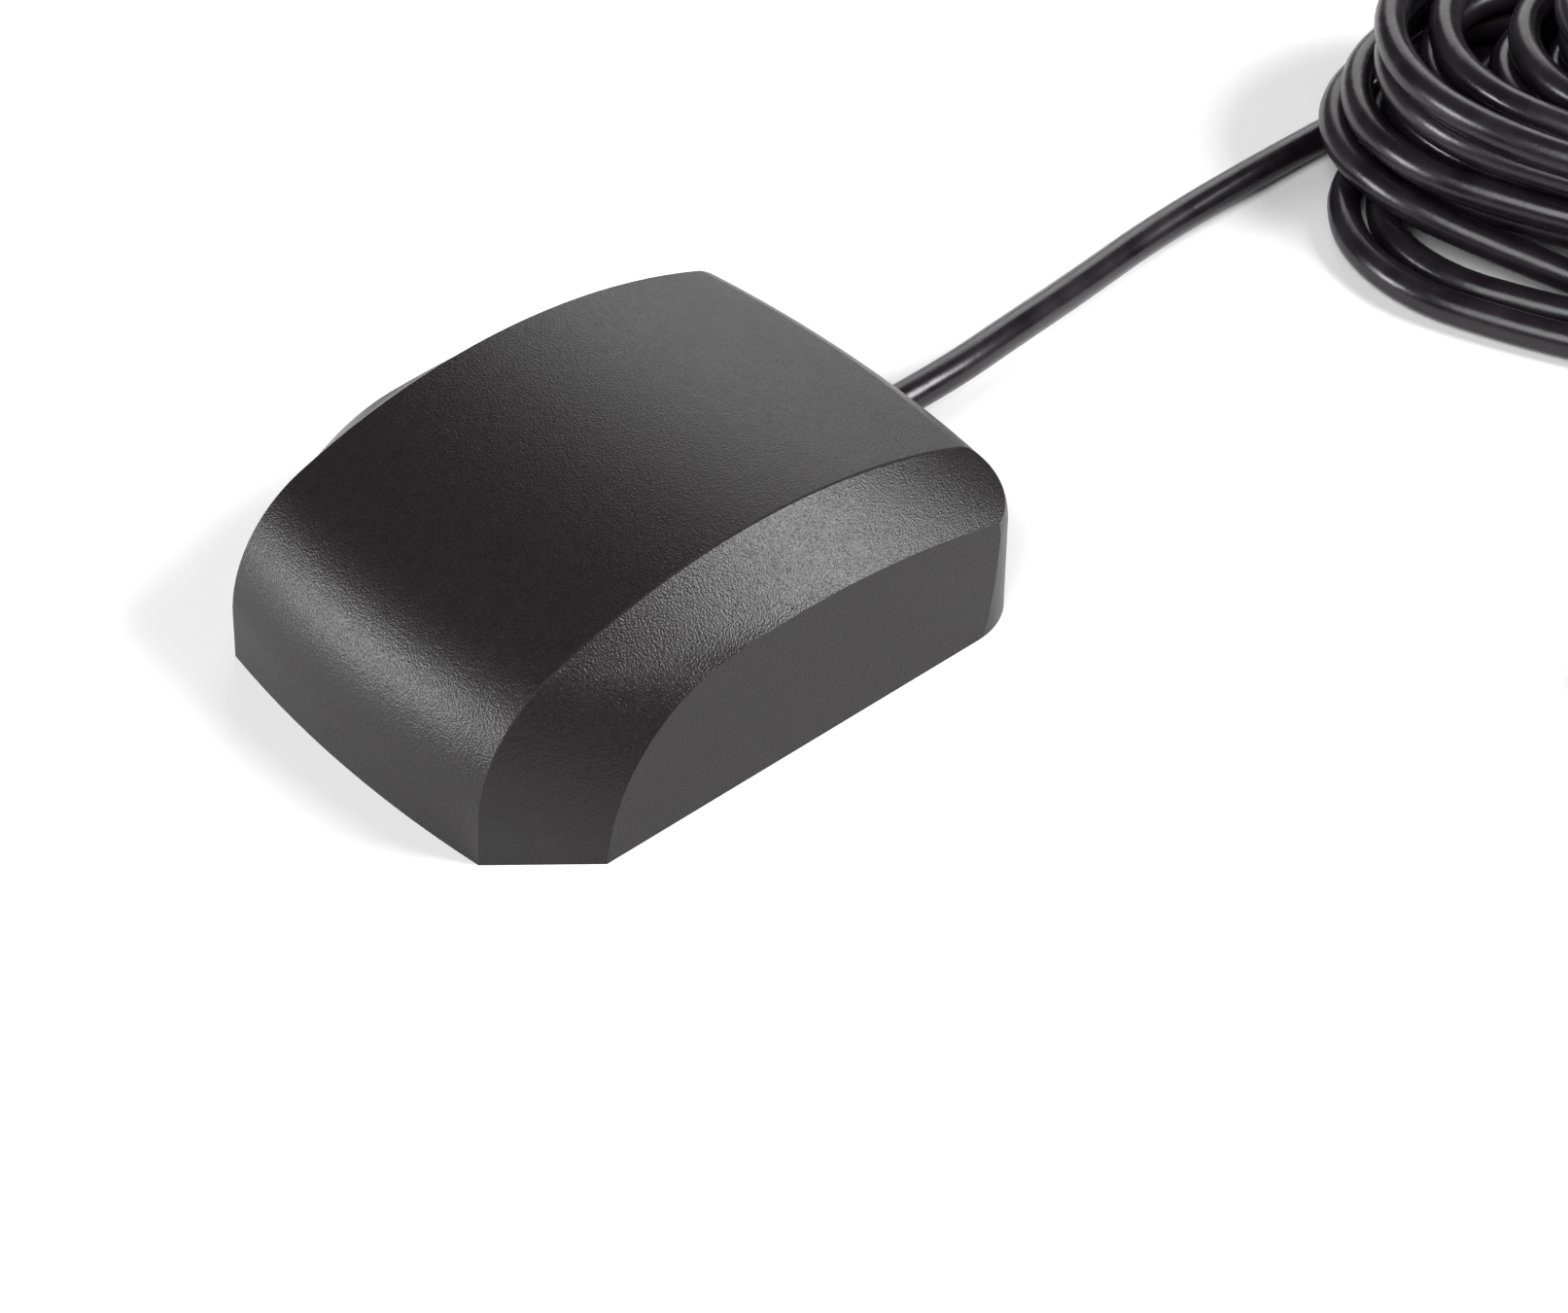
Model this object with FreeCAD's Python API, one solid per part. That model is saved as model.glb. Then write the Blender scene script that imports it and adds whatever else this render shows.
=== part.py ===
import FreeCAD, Part
import math
import os
from FreeCAD import Vector

# A magnetic puck antenna with a coaxial lead, its loose coil and a screw-on plug.
# Millimetres, +Z up, +Y towards the lead, origin under the middle of the housing.

# Housing outline, seen from above
WIDTH = 40.0
FRONT_CORNER_Y = -24.0
FRONT_BOW = 1.0
CHAMFER_X = 5.7
CHAMFER_Y = 6.65
REAR_CORNER_Y = 22.6
REAR_BOW = 1.9
REAR_CORNER_RADIUS = 6.0
EXIT_PAD_PROUD = 0.5
EXIT_PAD_WIDTH = 8.8
EXIT_PAD_HEIGHT = 9.4
EXIT_PAD_ROUND = 3.0
EXIT_PAD_EDGE = 0.35

# Housing side profiles: one along the upper crease, one along the side wall
CROWN_Y = 1.5
CREASE_HEIGHT = 16.7
CREASE_CROWN_RADIUS = 51.0
CREASE_NOSE_RADIUS = 10.8
CREASE_DRAFT_DEG = 3.5
MIDDLE_RISE = 0.35
SHOULDER_HEIGHT = 11.9
SHOULDER_CROWN_RADIUS = 72.0
SHOULDER_NOSE_RADIUS = 13.5
SHOULDER_DRAFT_DEG = 13.0
SIDE_LEAN_DEG = 3.0
CREASE_STEP = 0.25
REAR_ROUND_RADIUS = 6.0
REAR_ROUND_START = 7.8
REAR_ROUND_DEG = 69.0

# Housing walls
WALL = 1.6
RIM = 1.0
LABEL_THICKNESS = 0.25
PLATE_THICKNESS = 1.4
PLATE_CLEARANCE = 0.15
GASKET_HEIGHT = 0.4
GASKET_WIDTH = 1.1
LABEL_MARGIN = 0.3

# Screws and their bosses
SCREW_FRONT = (11.8, -17.9)
SCREW_REAR = (14.7, 17.6)
BOSS_RADIUS = 2.1
SCREW_RADIUS = 0.8
SCREW_LENGTH = 5.0
SCREW_HEAD_RADIUS = 1.5
SCREW_HEAD_HEIGHT = 0.7
SCREW_SLOT = 0.35
HOLE_CLEARANCE = 0.1

# Magnet in its pocket
MAGNET_RADIUS = 10.5
MAGNET_THICKNESS = 2.4
MAGNET_Y = -2.5
MAGNET_CLEARANCE = 0.1
POCKET_WALL = 0.9
POCKET_HEIGHT = 1.5

# Circuit board on the plate's posts
BOARD_WIDTH = 28.0
BOARD_LENGTH = 31.0
BOARD_THICKNESS = 0.8
BOARD_CORNER = 1.0
POST_X = 12.2
POST_Y = 13.6
POST_RADIUS = 1.3
PEG_RADIUS = 0.6
PEG_RISE = 0.5

# Patch antenna on the board
PATCH_SIZE = 25.0
PATCH_THICKNESS = 4.0
PATCH_EDGE = 0.3
ADHESIVE_THICKNESS = 0.15
ADHESIVE_MARGIN = 1.0
ELECTRODE_THICKNESS = 0.05
ELECTRODE_SIZE = 20.4
ELECTRODE_NOTCH = 2.0
FEED_X = 1.9
FEED_Y = 1.2
FEED_RADIUS = 0.45
FEED_HEAD_RADIUS = 1.1
FEED_HEAD_HEIGHT = 0.35
FEED_TAIL = 0.7
FEED_CLEARANCE = 0.05
FEED_SOLDER_RADIUS = 1.0

# Amplifier under the board, inside its can
CAN_WIDTH = 20.0
CAN_LENGTH = 15.0
CAN_HEIGHT = 1.8
CAN_SHEET = 0.2
CAN_Y = -4.0
CAN_CORNER = 0.8
SAW_SIZE = (3.0, 3.0, 1.1)
TRANSISTOR_SIZE = (2.1, 1.3, 0.9)
TRANSISTOR_LEG = (0.35, 0.45, 0.15)
INDUCTOR_SIZE = (2.0, 1.25, 1.2)
CAPACITOR_SIZE = (1.0, 0.5, 0.5)
RESISTOR_SIZE = (1.0, 0.5, 0.35)
CHIP_PITCH = 1.5

# Coaxial lead
LEAD_RADIUS = 1.4
BRAID_RADIUS = 1.1
DIELECTRIC_RADIUS = 0.75
CORE_RADIUS = 0.24
JACKET_END_Y = 17.0
BRAID_END_Y = 13.4
DIELECTRIC_END_Y = 11.6
CORE_END_Y = 9.4
BRAID_SOLDER_WIDTH = 1.2
BRAID_SOLDER_LENGTH = 1.6
CORE_SOLDER_RADIUS = 0.9

# Grommet and crimp ring at the exit
GROMMET_RADIUS = 2.2
GROMMET_FLANGE_RADIUS = 2.9
GROMMET_FLANGE = 0.8
GROMMET_FLANGE_GAP = 0.05
CRIMP_RING_RADIUS = 2.0
CRIMP_RING_LENGTH = 1.6

# Loose oval coil: one ring of the outer shape of all its turns
COIL_X = 26.0
COIL_Y = 101.5
COIL_HALF_LENGTH = 30.5
COIL_END_RADIUS = 13.0
COIL_SIDE_RADIUS = 140.0
COIL_TURN_DEG = 30.0
COIL_HALF_WIDTH = 7.5
COIL_HALF_HEIGHT = 8.0

# Plug on the lead's far end, its axis along Y, its mouth towards -Y
PLUG_X = 58.5
MOUTH_Y = 50.0
NUT_FLATS = 8.0
NUT_LENGTH = 8.4
NUT_CHAMFER = 0.5
THREAD_RADIUS = 3.05
THREAD_DEPTH = 5.6
NUT_GROOVE_RADIUS = 3.2
NUT_GROOVE_LENGTH = 2.0
NUT_FIT = 0.05
TUBE_RADIUS = 2.28
TUBE_RECESS = 2.0
DIELECTRIC_BORE_RADIUS = 2.05
NECK_RADIUS = 2.6
COLLAR_RADIUS = 3.1
COLLAR_LENGTH = 3.4
COLLAR_GAP = 0.1
SHANK_RADIUS = 1.25
SHANK_LENGTH = 7.0
SHANK_BORE_RADIUS = 0.78
SNAP_RING_DEPTH = 0.25
SNAP_RING_WIDTH = 0.5
SNAP_RING_OPENING = 1.0
SNAP_RING_PLAY = 0.05
SNAP_RING_CLEARANCE = 0.15
MATING_GASKET_LENGTH = 0.5
MATING_GASKET_RADIUS = 2.95
PIN_RADIUS = 0.64
PIN_TIP_RADIUS = 0.46
PIN_TIP_LENGTH = 2.4
PIN_RECESS = 0.6
PIN_PROUD = 1.5
PIN_SOLDER_CUP = 1.2
PLUG_BRAID_WALL = 0.3
FERRULE_WALL = 0.35
FERRULE_LENGTH = 7.4
SLEEVE_WALL = 0.45
SLEEVE_LENGTH = 15.0
SLEEVE_OVERLAP = 5.4
SLEEVE_NECK = 1.6

# Worked out from the values above
HALF_WIDTH = WIDTH / 2
CREASE_X = HALF_WIDTH - CHAMFER_X
SIDE_START_Y = FRONT_CORNER_Y + CHAMFER_Y
PLATE_Z = LABEL_THICKNESS
PLATE_TOP = PLATE_Z + PLATE_THICKNESS
MAGNET_TOP = PLATE_TOP + MAGNET_THICKNESS
CAN_LID_Z = MAGNET_TOP + 0.15
BOARD_Z = CAN_LID_Z + CAN_HEIGHT
BOARD_TOP = BOARD_Z + BOARD_THICKNESS
LEAD_Z = BOARD_Z - BRAID_RADIUS
EXIT_Y = REAR_CORNER_Y + REAR_BOW + EXIT_PAD_PROUD
NUT_CORNER_RADIUS = NUT_FLATS / math.sqrt(3)
PLUG_Z = NUT_FLATS / 2

# The free lead's route, its points chosen by hand
LEAD_ROUTE = [
    (0.0, EXIT_Y, LEAD_Z),
    (0.0, EXIT_Y + 7.5, LEAD_Z),
    (-1.5, EXIT_Y + 16.0, 4.2),
    (-3.9, EXIT_Y + 26.2, 2.5),
    (-6.1, EXIT_Y + 37.2, 1.5),
    (-6.7, EXIT_Y + 49.3, LEAD_RADIUS),
    (-2.6, EXIT_Y + 61.6, LEAD_RADIUS),
]
TAIL_START = (55.4, 109.0, LEAD_RADIUS)
TAIL_MIDDLE = [
    (56.2, 100.5, LEAD_RADIUS),
    (57.9, 92.3, 2.0),
]
TAIL_STRAIGHT = 5.0


def nodes_out(name, shape):
    """Write one piece to its own file."""
    shape.exportStep(os.path.join("parts", name + ".step"))


def box(size_x, size_y, size_z, x, y, z):
    """A block centred on x and y, standing on z."""
    return Part.makeBox(size_x, size_y, size_z, Vector(x - size_x / 2, y - size_y / 2, z))


def disc(radius, height, x, y, z):
    """An upright cylinder standing on z."""
    return Part.makeCylinder(radius, height, Vector(x, y, z))


def rod(radius, start_y, end_y, x, z):
    """A cylinder along Y."""
    return Part.makeCylinder(radius, end_y - start_y, Vector(x, start_y, z), Vector(0, 1, 0))


def upright_edges(shape):
    """The straight edges of a shape that run along Z."""
    found = []
    for edge in shape.Edges:
        low, high = edge.Vertexes[0].Point, edge.Vertexes[-1].Point
        if abs(low.x - high.x) < 1e-6 and abs(low.y - high.y) < 1e-6 and abs(low.z - high.z) > 1e-6:
            found.append(edge)
    return found


def rounded_block(size_x, size_y, size_z, x, y, z, radius):
    """A block whose upright edges are rounded."""
    block = box(size_x, size_y, size_z, x, y, z)
    return block.makeFillet(radius, upright_edges(block))


def arc_through(start, middle, end):
    return Part.Arc(start, middle, end).toShape()


# Housing form

def tangent_corner(side, radius, bow_centre_y, bow_radius):
    """Corner arc tangent to the side line x = side and, from inside, to the rear bow circle.

    Returns its start on the side, its middle and its end on the bow.
    """
    centre_x = side - radius
    centre_y = bow_centre_y + math.sqrt((bow_radius - radius) ** 2 - centre_x ** 2)
    bow_angle = math.atan2(centre_y - bow_centre_y, centre_x)
    middle_angle = bow_angle / 2
    start = (side, centre_y)
    middle = (centre_x + radius * math.cos(middle_angle), centre_y + radius * math.sin(middle_angle))
    end = (bow_radius * math.cos(bow_angle), bow_centre_y + bow_radius * math.sin(bow_angle))
    return start, middle, end


def bow_circle(half_chord, chord_y, bow):
    """Centre and radius of the circle that bulges by bow past a chord at chord_y."""
    radius = (half_chord ** 2 + bow ** 2) / (2 * abs(bow))
    centre_y = chord_y + bow - math.copysign(radius, bow)
    return centre_y, radius


def rear_points(inset):
    """The five points of the rear: corner start, corner middle, corner end, and the bow's middle."""
    centre_y, radius = bow_circle(HALF_WIDTH, REAR_CORNER_Y, REAR_BOW)
    radius -= inset
    start, middle, end = tangent_corner(HALF_WIDTH - inset, REAR_CORNER_RADIUS - inset, centre_y, radius)
    return start, middle, end, (0.0, centre_y + radius)


def front_points(inset):
    """The front's points: bow middle, chamfer start on the bow, chamfer end on the side."""
    centre_y, radius = bow_circle(CREASE_X, FRONT_CORNER_Y, -FRONT_BOW)
    radius -= inset
    along = Vector(CHAMFER_X, CHAMFER_Y, 0).normalize()
    normal = Vector(-along.y, along.x, 0)
    foot = Vector(CREASE_X, FRONT_CORNER_Y, 0) + normal * inset
    side = HALF_WIDTH - inset
    chamfer_end = foot + along * ((side - foot.x) / along.x)
    back = foot - Vector(0, centre_y, 0)
    half = back.dot(along)
    reach = -half - math.sqrt(half * half - back.dot(back) + radius * radius)
    if abs(reach) > CHAMFER_X:
        reach = -half + math.sqrt(half * half - back.dot(back) + radius * radius)
    chamfer_start = foot + along * reach
    return (0.0, centre_y - radius), (chamfer_start.x, chamfer_start.y), (chamfer_end.x, chamfer_end.y)


def flat_wire(edges, z):
    """Wire through edges given as two points for a line or three for an arc, each mirrored where needed."""
    made = []
    for points in edges:
        corners = [Vector(x, y, z) for x, y in points]
        if len(corners) == 2:
            made.append(Part.LineSegment(corners[0], corners[1]).toShape())
        else:
            made.append(arc_through(corners[0], corners[1], corners[2]))
    return Part.Wire(made)


def mirror(point):
    return (-point[0], point[1])


def base_outline(inset, z):
    """The housing's base outline, shrunk by inset: bowed front, chamfered corners, bowed round rear."""
    bow_mid, chamfer_start, chamfer_end = front_points(inset)
    side_end, corner_mid, corner_end, rear_mid = rear_points(inset)
    return flat_wire([
        (mirror(chamfer_start), bow_mid, chamfer_start),
        (chamfer_start, chamfer_end),
        (chamfer_end, side_end),
        (side_end, corner_mid, corner_end),
        (corner_end, rear_mid, mirror(corner_end)),
        (mirror(corner_end), mirror(corner_mid), mirror(side_end)),
        (mirror(side_end), mirror(chamfer_end)),
        (mirror(chamfer_end), mirror(chamfer_start)),
    ], z)


def slab(inset, low, high):
    """Flat plate of the base outline between two heights."""
    return Part.Face(base_outline(inset, low)).extrude(Vector(0, 0, high - low))


def rear_mask(inset):
    """Straight sides, bowed rear and round rear corners, whose wall rolls over towards the top.

    The plan outline stands upright, then slides forward round the rear's rounding arc, then leans
    on along that arc's last direction, which clears the crown.
    """
    side_end, corner_mid, corner_end, rear_mid = rear_points(inset)
    far = (side_end[0], FRONT_CORNER_Y * 2)
    radius = REAR_ROUND_RADIUS - inset

    def outline(angle_deg):
        angle = math.radians(angle_deg)
        back = radius * (1 - math.cos(angle))
        z = REAR_ROUND_START + radius * math.sin(angle)
        start = (side_end[0], side_end[1] - back)
        middle = (corner_mid[0], corner_mid[1] - back)
        end = (corner_end[0], corner_end[1] - back)
        bow = (0.0, rear_mid[1] - back)
        return flat_wire([
            (mirror(far), far),
            (far, start),
            (start, middle, end),
            (end, bow, mirror(end)),
            (mirror(end), mirror(middle), mirror(start)),
            (mirror(start), mirror(far)),
        ], z)

    last = math.radians(REAR_ROUND_DEG)
    upright = Part.Face(outline(0)).extrude(Vector(0, 0, -REAR_ROUND_START))
    steps = 6
    rolled = Part.makeLoft([outline(REAR_ROUND_DEG * step / steps) for step in range(steps + 1)], True)
    lean = Vector(0, -math.sin(last), math.cos(last)) * (2 * CREASE_HEIGHT)
    leaning = Part.Face(outline(REAR_ROUND_DEG)).extrude(lean)
    return upright.fuse([rolled, leaning])


def side_profile(x, start_y, draft_deg, nose_radius, crown_height, crown_radius):
    """Closed face across x: drafted front, nose arc, long crown arc, upright rear, flat base.

    The nose arc is tangent to the drafted line and to the crown arc, so its centre lies nose_radius
    inside the line and crown_radius - nose_radius from the crown's centre.
    """
    end_y = REAR_CORNER_Y + REAR_BOW + 1
    draft = math.radians(draft_deg)
    along = Vector(0, math.sin(draft), math.cos(draft))
    inward = Vector(0, math.cos(draft), -math.sin(draft))
    foot = Vector(x, start_y, 0)
    crown_centre = Vector(x, CROWN_Y, crown_height - crown_radius)
    offset_foot = foot + inward * nose_radius
    back = offset_foot - crown_centre
    half = back.dot(along)
    reach = crown_radius - nose_radius
    rise = -half + math.sqrt(half * half - back.dot(back) + reach * reach)
    nose_centre = offset_foot + along * rise
    nose_start = foot + along * rise
    outward = (nose_centre - crown_centre).normalize()
    nose_end = nose_centre + outward * nose_radius
    nose_middle = nose_centre + (outward - inward).normalize() * nose_radius
    end_z = crown_centre.z + math.sqrt(crown_radius ** 2 - (end_y - CROWN_Y) ** 2)
    crown_end = Vector(x, end_y, end_z)
    halfway = ((nose_end - crown_centre).normalize() + (crown_end - crown_centre).normalize()).normalize()
    crown_middle = crown_centre + halfway * crown_radius
    rear_foot = Vector(x, end_y, 0)
    edges = [
        Part.LineSegment(foot, nose_start).toShape(),
        arc_through(nose_start, nose_middle, nose_end),
        arc_through(nose_end, crown_middle, crown_end),
        Part.LineSegment(crown_end, rear_foot).toShape(),
        Part.LineSegment(rear_foot, foot).toShape(),
    ]
    return Part.Wire(edges)


def housing_form(inset, step):
    """The housing's solid form, shrunk by inset on every side but the base."""
    crease_x = CREASE_X - inset / 2
    side = HALF_WIDTH - inset

    def crease(x, bow, rise):
        return side_profile(x, FRONT_CORNER_Y + inset - bow, CREASE_DRAFT_DEG, CREASE_NOSE_RADIUS - inset,
                            CREASE_HEIGHT - inset + rise, CREASE_CROWN_RADIUS - inset)

    edge_left, edge_right = crease(-crease_x, 0, 0), crease(crease_x, 0, 0)
    form = Part.makeLoft([edge_left, crease(0, FRONT_BOW, MIDDLE_RISE), edge_right], True)
    for sign in (-1, 1):
        inner = crease(sign * crease_x, 0, -step)
        nose, crown = SHOULDER_NOSE_RADIUS - inset, SHOULDER_CROWN_RADIUS - inset
        outer = side_profile(sign * side, SIDE_START_Y + inset, SHOULDER_DRAFT_DEG, nose,
                             SHOULDER_HEIGHT - inset, crown)
        outer.rotate(Vector(sign * side, 0, 0), Vector(0, 1, 0), -sign * SIDE_LEAN_DEG)
        form = form.fuse(Part.makeLoft([inner, outer], True, True))
    return form.common(rear_mask(inset))


def boss_places():
    """The four screws' centres: two near the front corners, two near the rear ones."""
    places = []
    for x, y in (SCREW_FRONT, SCREW_REAR):
        places.append((x, y))
        places.append((-x, y))
    return places


def exit_pad():
    """Shallow pad on the rear wall round the lead's exit, its upper corners and its rim rounded."""
    pad_length = 3 * EXIT_PAD_PROUD + REAR_BOW
    pad = box(EXIT_PAD_WIDTH, pad_length, EXIT_PAD_HEIGHT, 0, EXIT_Y - pad_length / 2, 0)
    corners = []
    for edge in pad.Edges:
        middle = edge.CenterOfMass
        if abs(middle.z - EXIT_PAD_HEIGHT) < 0.01 and abs(middle.x) > 1:
            corners.append(edge)
    pad = pad.makeFillet(EXIT_PAD_ROUND, corners)
    rim = []
    for edge in pad.Edges:
        middle = edge.CenterOfMass
        if abs(middle.y - EXIT_Y) < 0.01 and middle.z > 0.01:
            rim.append(edge)
    return pad.makeFillet(EXIT_PAD_EDGE, rim)


def top_cover():
    """Moulded shell with a rim that takes the plate, four screw bosses and a pad at the lead's exit."""
    outer = housing_form(0, CREASE_STEP)
    outer = outer.fuse(exit_pad())
    bosses = [disc(BOSS_RADIUS, CREASE_HEIGHT, x, y, PLATE_TOP) for x, y in boss_places()]
    cavity = housing_form(WALL, 0).common(slab(WALL, -1, CREASE_HEIGHT + MIDDLE_RISE))
    shell = outer.cut(cavity)
    boss_stock = bosses[0].fuse(bosses[1:]).common(outer)
    shell = shell.fuse(boss_stock)
    shell = shell.cut(slab(RIM, -1, PLATE_TOP))
    for x, y in boss_places():
        shell = shell.cut(disc(SCREW_RADIUS, SCREW_LENGTH, x, y, PLATE_TOP - 1))
    exit_hole = rod(GROMMET_RADIUS, JACKET_END_Y, EXIT_Y + 1, 0, LEAD_Z)
    return shell.cut(exit_hole).removeSplitter()


def sealing_gasket():
    """Square rubber ring in the plate's rebate, under the cover's ledge."""
    inset = RIM + PLATE_CLEARANCE
    low, high = PLATE_TOP - GASKET_HEIGHT, PLATE_TOP
    return slab(inset, low, high).cut(slab(inset + GASKET_WIDTH, low - 1, high + 1))


def base_plate():
    """Moulded plate with a gasket rebate, the magnet's pocket and four pegged posts for the board."""
    inset = RIM + PLATE_CLEARANCE
    plate = slab(inset, PLATE_Z, PLATE_TOP - GASKET_HEIGHT)
    plate = plate.fuse(slab(inset + GASKET_WIDTH, PLATE_TOP - GASKET_HEIGHT, PLATE_TOP))
    pocket_radius = MAGNET_RADIUS + MAGNET_CLEARANCE
    pocket = disc(pocket_radius + POCKET_WALL, POCKET_HEIGHT, 0, MAGNET_Y, PLATE_TOP)
    plate = plate.fuse(pocket.cut(disc(pocket_radius, POCKET_HEIGHT, 0, MAGNET_Y, PLATE_TOP)))
    for x in (-POST_X, POST_X):
        for y in (-POST_Y, POST_Y):
            post = disc(POST_RADIUS, BOARD_Z - PLATE_TOP, x, y, PLATE_TOP)
            peg = disc(PEG_RADIUS, BOARD_THICKNESS + PEG_RISE, x, y, BOARD_Z)
            plate = plate.fuse([post, peg])
    for x, y in boss_places():
        plate = plate.cut(disc(SCREW_RADIUS + HOLE_CLEARANCE, PLATE_TOP, x, y, 0))
        plate = plate.cut(screw_head(x, y, HOLE_CLEARANCE))
    return plate.removeSplitter()


def screw_head(x, y, clearance):
    """Countersunk cone, wide end down, level with the plate's outer face."""
    return Part.makeCone(SCREW_HEAD_RADIUS + clearance, SCREW_RADIUS + clearance, SCREW_HEAD_HEIGHT,
                         Vector(x, y, PLATE_Z))


def case_screws():
    """Four countersunk self-tapping screws with a cross slot, as separate solids."""
    screws = []
    for x, y in boss_places():
        screw = disc(SCREW_RADIUS, SCREW_LENGTH - 1, x, y, PLATE_Z + 0.2).fuse(screw_head(x, y, 0))
        depth = SCREW_HEAD_HEIGHT / 2
        slot_length = 2 * SCREW_HEAD_RADIUS * 0.7
        screw = screw.cut(box(slot_length, SCREW_SLOT, depth, x, y, PLATE_Z))
        screw = screw.cut(box(SCREW_SLOT, slot_length, depth, x, y, PLATE_Z))
        screws.append(screw)
    return Part.makeCompound(screws)


def base_label():
    """Printed film over the whole plate, level with the cover's rim."""
    return slab(RIM + LABEL_MARGIN, 0, LABEL_THICKNESS)


def magnet():
    stock = disc(MAGNET_RADIUS, MAGNET_THICKNESS, 0, MAGNET_Y, PLATE_TOP)
    return stock.makeChamfer(0.3, stock.Edges)


def circuit_board():
    """Rounded board with peg holes and the feed pin's hole."""
    board = rounded_block(BOARD_WIDTH, BOARD_LENGTH, BOARD_THICKNESS, 0, 0, BOARD_Z, BOARD_CORNER)
    for x in (-POST_X, POST_X):
        for y in (-POST_Y, POST_Y):
            board = board.cut(disc(PEG_RADIUS + HOLE_CLEARANCE / 2, BOARD_THICKNESS, x, y, BOARD_Z))
    return board.cut(disc(FEED_RADIUS + FEED_CLEARANCE, BOARD_THICKNESS, FEED_X, FEED_Y, BOARD_Z))


def feed_bore(low, high):
    return disc(FEED_RADIUS + FEED_CLEARANCE, high - low, FEED_X, FEED_Y, low)


PAD_TOP = BOARD_TOP + ADHESIVE_THICKNESS
CERAMIC_Z = PAD_TOP + ELECTRODE_THICKNESS
CERAMIC_TOP = CERAMIC_Z + PATCH_THICKNESS
ELECTRODE_TOP = CERAMIC_TOP + ELECTRODE_THICKNESS


def patch_adhesive():
    size = PATCH_SIZE - 2 * ADHESIVE_MARGIN
    return box(size, size, ADHESIVE_THICKNESS, 0, 0, BOARD_TOP).cut(feed_bore(BOARD_TOP, PAD_TOP))


def ground_electrode():
    size = PATCH_SIZE - 2 * PATCH_EDGE
    return box(size, size, ELECTRODE_THICKNESS, 0, 0, PAD_TOP).cut(feed_bore(PAD_TOP, CERAMIC_Z))


def patch_ceramic():
    block = rounded_block(PATCH_SIZE, PATCH_SIZE, PATCH_THICKNESS, 0, 0, CERAMIC_Z, PATCH_EDGE)
    return block.cut(feed_bore(CERAMIC_Z, CERAMIC_TOP))


def patch_electrode():
    """Silvered square with two opposite corners cut off, which makes the wave circular."""
    half = ELECTRODE_SIZE / 2
    cut = half - ELECTRODE_NOTCH
    points = [(-half, -cut), (-cut, -half), (half, -half), (half, cut), (cut, half), (-half, half)]
    outline = Part.makePolygon([Vector(x, y, CERAMIC_TOP) for x, y in points + points[:1]])
    square = Part.Face(outline).extrude(Vector(0, 0, ELECTRODE_THICKNESS))
    return square.cut(feed_bore(CERAMIC_TOP, ELECTRODE_TOP))


def feed_pin():
    """Headed pin from the top of the patch through the board."""
    stem_low = BOARD_Z - FEED_TAIL
    stem = disc(FEED_RADIUS, ELECTRODE_TOP - stem_low, FEED_X, FEED_Y, stem_low)
    head = disc(FEED_HEAD_RADIUS, FEED_HEAD_HEIGHT, FEED_X, FEED_Y, ELECTRODE_TOP)
    return stem.fuse(head).removeSplitter()


def feed_solder():
    """Cone of solder round the pin's tail under the board."""
    cone = Part.makeCone(FEED_RADIUS + 0.1, FEED_SOLDER_RADIUS, FEED_TAIL * 0.8,
                         Vector(FEED_X, FEED_Y, BOARD_Z - FEED_TAIL * 0.8))
    return cone.cut(disc(FEED_RADIUS, FEED_TAIL, FEED_X, FEED_Y, BOARD_Z - FEED_TAIL))


def shield_can():
    """Drawn can, open towards the board, its rim soldered to the board's underside."""
    outer = rounded_block(CAN_WIDTH, CAN_LENGTH, CAN_HEIGHT, 0, CAN_Y, CAN_LID_Z, CAN_CORNER)
    inner = rounded_block(CAN_WIDTH - 2 * CAN_SHEET, CAN_LENGTH - 2 * CAN_SHEET, CAN_HEIGHT, 0, CAN_Y,
                          CAN_LID_Z + CAN_SHEET, CAN_CORNER - CAN_SHEET)
    return outer.cut(inner)


def hung_chip(size, x, y):
    """A chip with its top against the board's underside."""
    return box(size[0], size[1], size[2], x, y, BOARD_Z - size[2])


def saw_filter():
    return hung_chip(SAW_SIZE, 0.0, CAN_Y - CAN_LENGTH / 4)


def amplifier_transistors():
    """Two small-outline transistors with their legs."""
    made = []
    for x in (-CAN_WIDTH / 4, CAN_WIDTH / 4):
        y = CAN_Y - CAN_LENGTH / 4
        body = hung_chip(TRANSISTOR_SIZE, x, y)
        for side in (-1, 1):
            for place in (-1, 1):
                leg_x = x + place * TRANSISTOR_SIZE[0] / 3
                leg_y = y + side * (TRANSISTOR_SIZE[1] + TRANSISTOR_LEG[1]) / 2
                body = body.fuse(hung_chip(TRANSISTOR_LEG, leg_x, leg_y))
        made.append(body)
    return Part.makeCompound(made)


def chip_row(size, count, y):
    """A row of like chips under the board, each its own solid."""
    start = -(count - 1) / 2
    return Part.makeCompound([hung_chip(size, (start + i) * CHIP_PITCH * 1.6, y) for i in range(count)])


def board_capacitors():
    return chip_row(CAPACITOR_SIZE, 7, CAN_Y + CAN_LENGTH / 8)


def board_resistors():
    return chip_row(RESISTOR_SIZE, 4, CAN_Y)


def board_inductor():
    return hung_chip(INDUCTOR_SIZE, -CAN_WIDTH / 3, CAN_Y + CAN_LENGTH / 3)


# The lead's end inside the housing

def lead_jacket_end():
    return rod(LEAD_RADIUS, JACKET_END_Y, EXIT_Y, 0, LEAD_Z)


def lead_braid_end():
    return rod(BRAID_RADIUS, BRAID_END_Y, JACKET_END_Y, 0, LEAD_Z)


def lead_dielectric_end():
    return rod(DIELECTRIC_RADIUS, DIELECTRIC_END_Y, BRAID_END_Y, 0, LEAD_Z)


def lead_core_end():
    return rod(CORE_RADIUS, CORE_END_Y, DIELECTRIC_END_Y, 0, LEAD_Z)


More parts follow.
